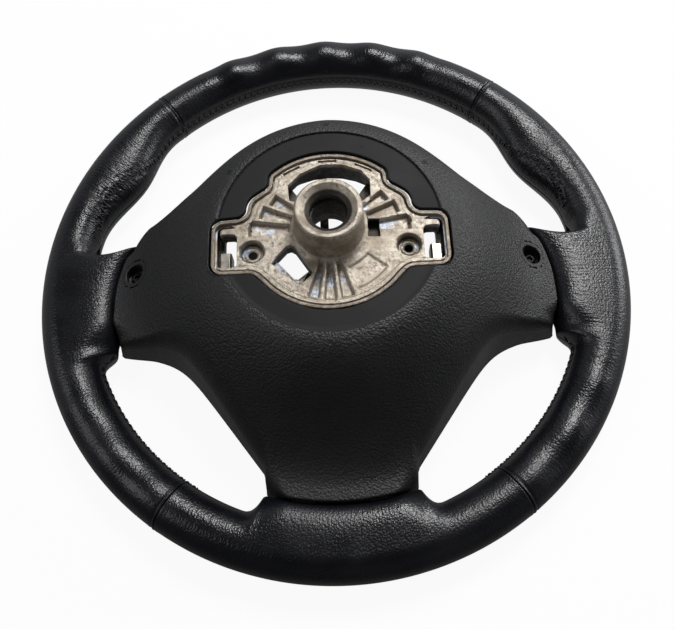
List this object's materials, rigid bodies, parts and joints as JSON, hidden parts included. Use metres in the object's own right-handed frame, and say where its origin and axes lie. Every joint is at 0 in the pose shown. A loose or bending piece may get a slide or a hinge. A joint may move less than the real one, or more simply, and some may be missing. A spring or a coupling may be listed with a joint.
{
  "type": "steering wheel",
  "caption": "Leather car steering wheel without its airbag: cast armature with splined hub, padded rim with thumb rests, back cover and front switch packs.",
  "frame": {"origin": "on the steering axis where the pilot bore of the hub begins", "axes": "+Z along the steering axis towards the column, +Y towards twelve o'clock; the wheel lies on the front of its rim"},
  "size_m": [0.3742, 0.3742, 0.1075],
  "materials": {
    "leather": "black pebbled leather, semi-gloss from use",
    "soft_plastic": "fine-grained soft-touch moulding",
    "trim_plastic": "satin moulding",
    "switch_plastic": "satin moulding",
    "button_plastic": "soft-touch keys, unmarked",
    "cast_metal": "raw die-cast metal with warm tarnish and pale patches",
    "spring_steel": "plated spring sheet, dull",
    "screw_steel": "dark zinc plate",
    "foam": "moulded polyurethane foam"
  },
  "bodies": {
    "wheel": {"armature": "cast_metal", "rim_foam": "foam", "leather_top": "leather", "leather_left": "leather", "leather_right": "leather", "leather_bottom": "leather", "back_cover": "soft_plastic", "front_trim": "trim_plastic", "trim_screw_left": "screw_steel", "trim_screw_right": "screw_steel", "switch_left": "switch_plastic", "switch_right": "switch_plastic"},
    "clip_left": {"clip_left": "spring_steel"},
    "rocker_left": {"rocker_left": "button_plastic"},
    "button_left_1": {"button_left_1": "button_plastic"},
    "button_left_2": {"button_left_2": "button_plastic"},
    "button_left_3": {"button_left_3": "button_plastic"},
    "button_left_4": {"button_left_4": "button_plastic"},
    "clip_right": {"clip_right": "spring_steel"},
    "rocker_right": {"rocker_right": "button_plastic"},
    "button_right_1": {"button_right_1": "button_plastic"},
    "button_right_2": {"button_right_2": "button_plastic"},
    "button_right_3": {"button_right_3": "button_plastic"},
    "button_right_4": {"button_right_4": "button_plastic"}
  },
  "joints": [
    {"name": "clip_left_slide", "type": "slide", "parent": "wheel", "child": "clip_left", "axis": [-1, 0, 0], "range_m": [0, 0.0009], "stiffness_N_per_m": 3000},
    {"name": "rocker_left_tilt", "type": "hinge", "parent": "wheel", "child": "rocker_left", "pos_m": [-0.103, -0.009, -0.0956], "axis": [0, 1, 0], "range_deg": [-3, 3], "stiffness_Nm_per_rad": 0.08},
    {"name": "button_left_1_press", "type": "slide", "parent": "wheel", "child": "button_left_1", "axis": [0, 0, 1], "range_m": [0, 0.0012], "stiffness_N_per_m": 300},
    {"name": "button_left_2_press", "type": "slide", "parent": "wheel", "child": "button_left_2", "axis": [0, 0, 1], "range_m": [0, 0.0012], "stiffness_N_per_m": 300},
    {"name": "button_left_3_press", "type": "slide", "parent": "wheel", "child": "button_left_3", "axis": [0, 0, 1], "range_m": [0, 0.0012], "stiffness_N_per_m": 300},
    {"name": "button_left_4_press", "type": "slide", "parent": "wheel", "child": "button_left_4", "axis": [0, 0, 1], "range_m": [0, 0.0012], "stiffness_N_per_m": 300},
    {"name": "clip_right_slide", "type": "slide", "parent": "wheel", "child": "clip_right", "axis": [1, 0, 0], "range_m": [0, 0.0009], "stiffness_N_per_m": 3000},
    {"name": "rocker_right_tilt", "type": "hinge", "parent": "wheel", "child": "rocker_right", "pos_m": [0.103, -0.009, -0.0956], "axis": [0, 1, 0], "range_deg": [-3, 3], "stiffness_Nm_per_rad": 0.08},
    {"name": "button_right_1_press", "type": "slide", "parent": "wheel", "child": "button_right_1", "axis": [0, 0, 1], "range_m": [0, 0.0012], "stiffness_N_per_m": 300},
    {"name": "button_right_2_press", "type": "slide", "parent": "wheel", "child": "button_right_2", "axis": [0, 0, 1], "range_m": [0, 0.0012], "stiffness_N_per_m": 300},
    {"name": "button_right_3_press", "type": "slide", "parent": "wheel", "child": "button_right_3", "axis": [0, 0, 1], "range_m": [0, 0.0012], "stiffness_N_per_m": 300},
    {"name": "button_right_4_press", "type": "slide", "parent": "wheel", "child": "button_right_4", "axis": [0, 0, 1], "range_m": [0, 0.0012], "stiffness_N_per_m": 300}
  ]
}
